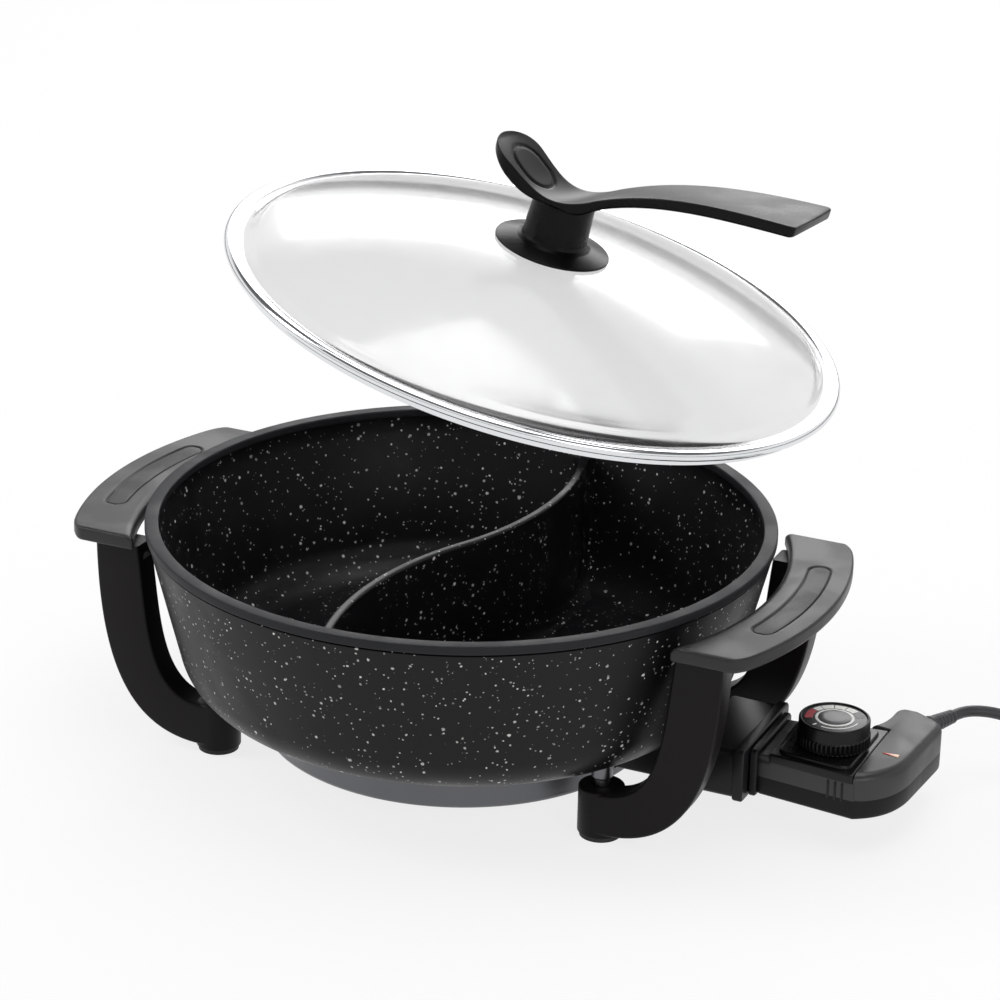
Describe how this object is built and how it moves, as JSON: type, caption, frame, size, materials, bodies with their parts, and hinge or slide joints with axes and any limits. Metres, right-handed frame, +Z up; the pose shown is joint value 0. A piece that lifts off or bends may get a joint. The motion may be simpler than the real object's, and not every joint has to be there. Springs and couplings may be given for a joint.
{
  "type": "electric hot pot with lid",
  "caption": "Round electric hot pot on legs, with a curved dividing wall, side grips, a plug-in thermostat control on a cord and a loose glass lid with a standing handle.",
  "frame": {"origin": "on the table under the pot's centre, where the pot's axis meets the plane of the feet", "axes": "+Z up along the pot's axis, +X from the pot towards the control, +Y towards the back seen from the front"},
  "size_m": [0.617, 0.3421, 0.3468],
  "materials": {
    "pot_coat": "cast aluminium with a black stone-fleck non-stick coat",
    "cover_metal": "satin metallic grey",
    "screw_steel": "zinc plated",
    "heater_steel": "oxidised tube",
    "contact_brass": "plain",
    "housing_plastic": "satin black",
    "leg_plastic": "satin black",
    "grip_plastic": "satin charcoal",
    "inlay_rubber": "soft touch",
    "pad_rubber": "matt",
    "control_plastic": "satin dark grey",
    "cover_plastic": "satin mid grey",
    "deck_plastic": "half-gloss black",
    "rod_steel": "polished rod",
    "switch_plastic": "brown moulding",
    "lamp_glass": "clear amber",
    "dial_print": "printed disc",
    "cord_rubber": "smooth jacket",
    "tie_plastic": "strap",
    "lid_glass": "clear tempered",
    "lid_steel": "polished band",
    "handle_plastic": "satin black"
  },
  "bodies": {
    "pot": {"pot_body": "pot_coat", "base_cover": "cover_metal", "base_cover_screws": "screw_steel", "heating_element": "heater_steel", "heater_pins": "contact_brass", "socket_housing": "housing_plastic", "left_grip": "grip_plastic", "right_grip": "grip_plastic", "left_grip_inlay": "inlay_rubber", "right_grip_inlay": "inlay_rubber", "left_front_leg": "leg_plastic", "left_rear_leg": "leg_plastic", "right_front_leg": "leg_plastic", "right_rear_leg": "leg_plastic", "foot_screws": "screw_steel", "grip_screws": "screw_steel", "foot_pads": "pad_rubber"},
    "control": {"control_faceplate": "housing_plastic", "control_base": "control_plastic", "control_cover": "cover_plastic", "dial_deck": "deck_plastic", "control_screws": "screw_steel", "feeler_rod": "rod_steel", "contact_sleeves": "contact_brass", "thermostat_switch": "switch_plastic", "pilot_lamp": "lamp_glass", "indicator_lens": "lamp_glass", "strain_relief": "cord_rubber", "cord_lead": "cord_rubber", "cord_coil": "cord_rubber", "cord_tie": "tie_plastic", "plug_body": "cord_rubber", "plug_blades": "contact_brass"},
    "dial": {"dial": "deck_plastic", "dial_face": "dial_print", "dial_shaft": "rod_steel"},
    "lid": {"lid_glass": "lid_glass", "lid_rim": "lid_steel", "lid_disc": "handle_plastic", "lid_handle": "handle_plastic", "thumb_inlay": "handle_plastic", "lid_screw": "screw_steel", "lid_washer": "pad_rubber"}
  },
  "joints": [
    {"name": "lid_lift", "type": "hinge", "parent": "pot", "child": "lid", "pos_m": [0.50627, 0.08527, 0.0445], "axis": [-0.1661, 0.9861, 0], "range_deg": [-13.93, 0]},
    {"name": "control_pull", "type": "slide", "parent": "pot", "child": "control", "axis": [1, 0, 0], "range_m": [0, 0.115]},
    {"name": "dial_turn", "type": "hinge", "parent": "control", "child": "dial", "pos_m": [0.2165, 0, 0.05], "axis": [0, 0, 1], "range_deg": [-210, 60]}
  ]
}
